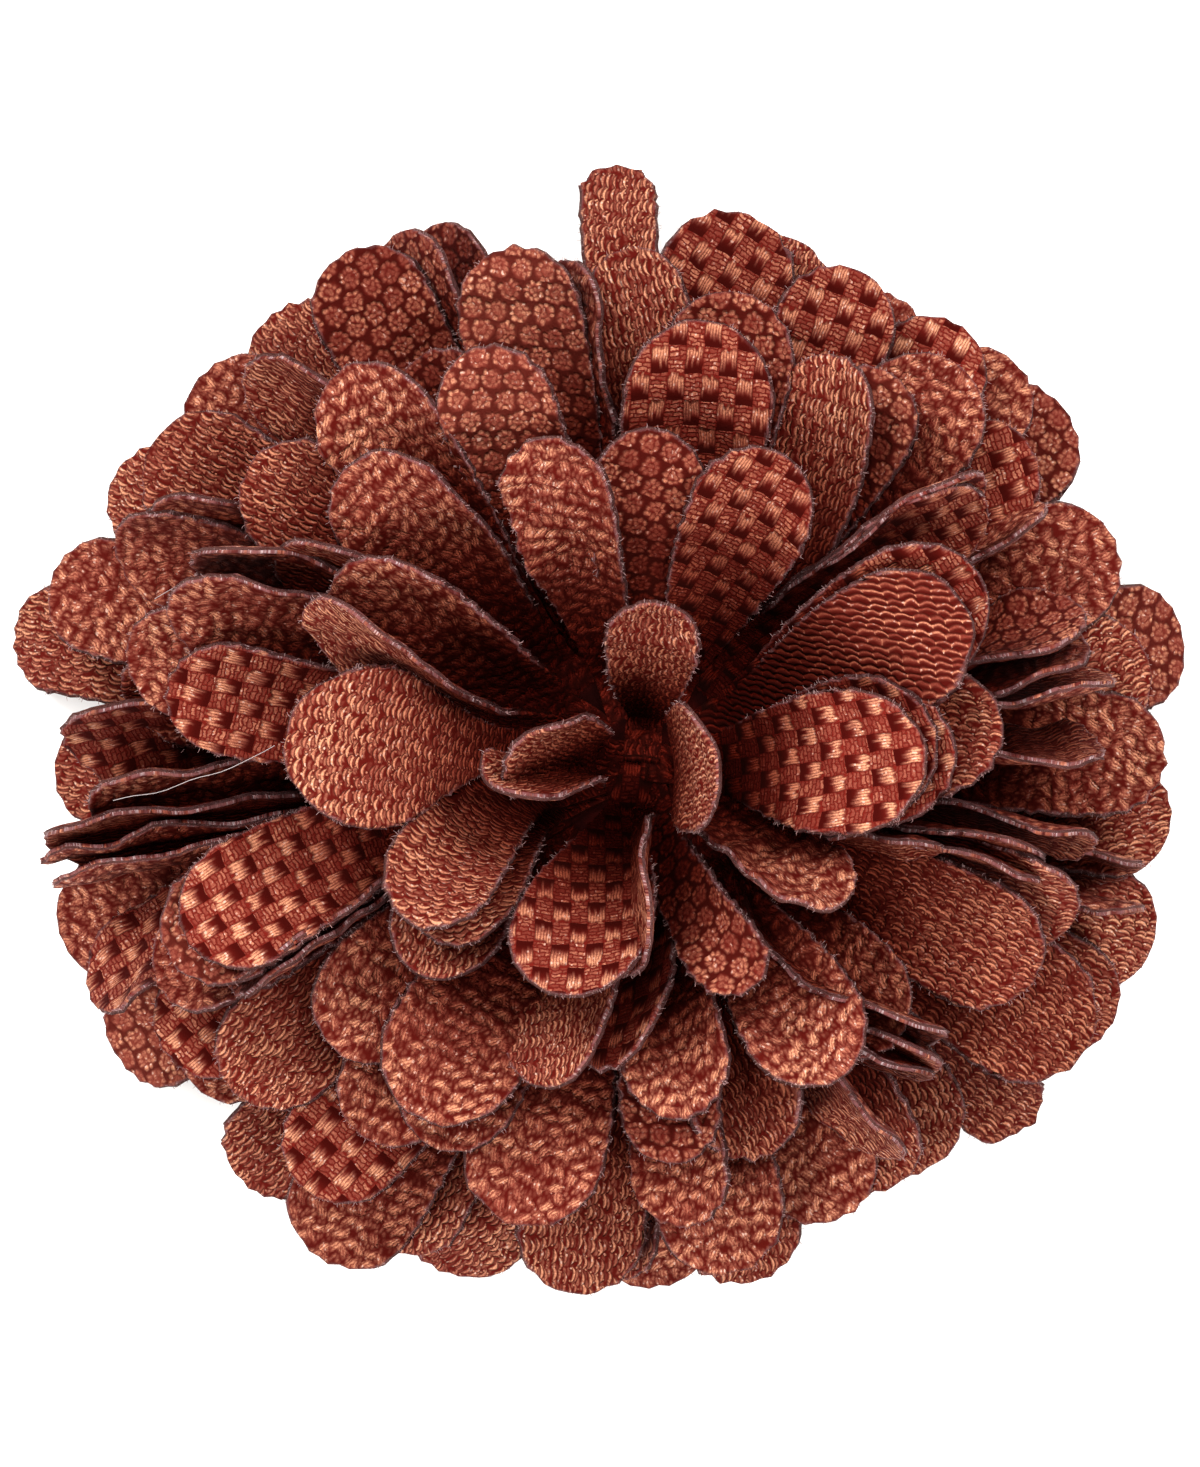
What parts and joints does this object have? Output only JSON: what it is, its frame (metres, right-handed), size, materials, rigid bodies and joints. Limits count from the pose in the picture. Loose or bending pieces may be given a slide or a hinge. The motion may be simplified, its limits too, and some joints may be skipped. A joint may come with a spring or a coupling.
{
  "type": "flower lapel pin",
  "caption": "Lapel pin with a full, many-petalled flower cut from woven jacquard cloth, gathered on a felt disc over a steel plate with a straight pin.",
  "frame": {"origin": "under the middle of the flower's outline, at the level that it lies on", "axes": "+Z out of the flower's face, +Y the top and +X the right of the flower as seen from the front"},
  "size_m": [0.0469, 0.0449, 0.021],
  "materials": {
    "petal_cloth_back": "woven satin jacquard, maroon ground with copper floats",
    "petal_cloth_outer": "woven satin jacquard, maroon ground with copper floats",
    "petal_cloth_middle": "woven satin jacquard, maroon ground with copper floats",
    "petal_cloth_inner": "woven satin jacquard, maroon ground with copper floats",
    "petal_cloth_heart": "woven satin jacquard, maroon ground with copper floats",
    "felt": "matt pressed felt",
    "steel": "plain bright steel"
  },
  "bodies": {
    "root": {"back_petals": "petal_cloth_back", "outer_petals": "petal_cloth_outer", "middle_petals": "petal_cloth_middle", "inner_petals": "petal_cloth_inner", "heart_petals": "petal_cloth_heart", "felt_backing": "felt", "pin": "steel"}
  },
  "joints": []
}
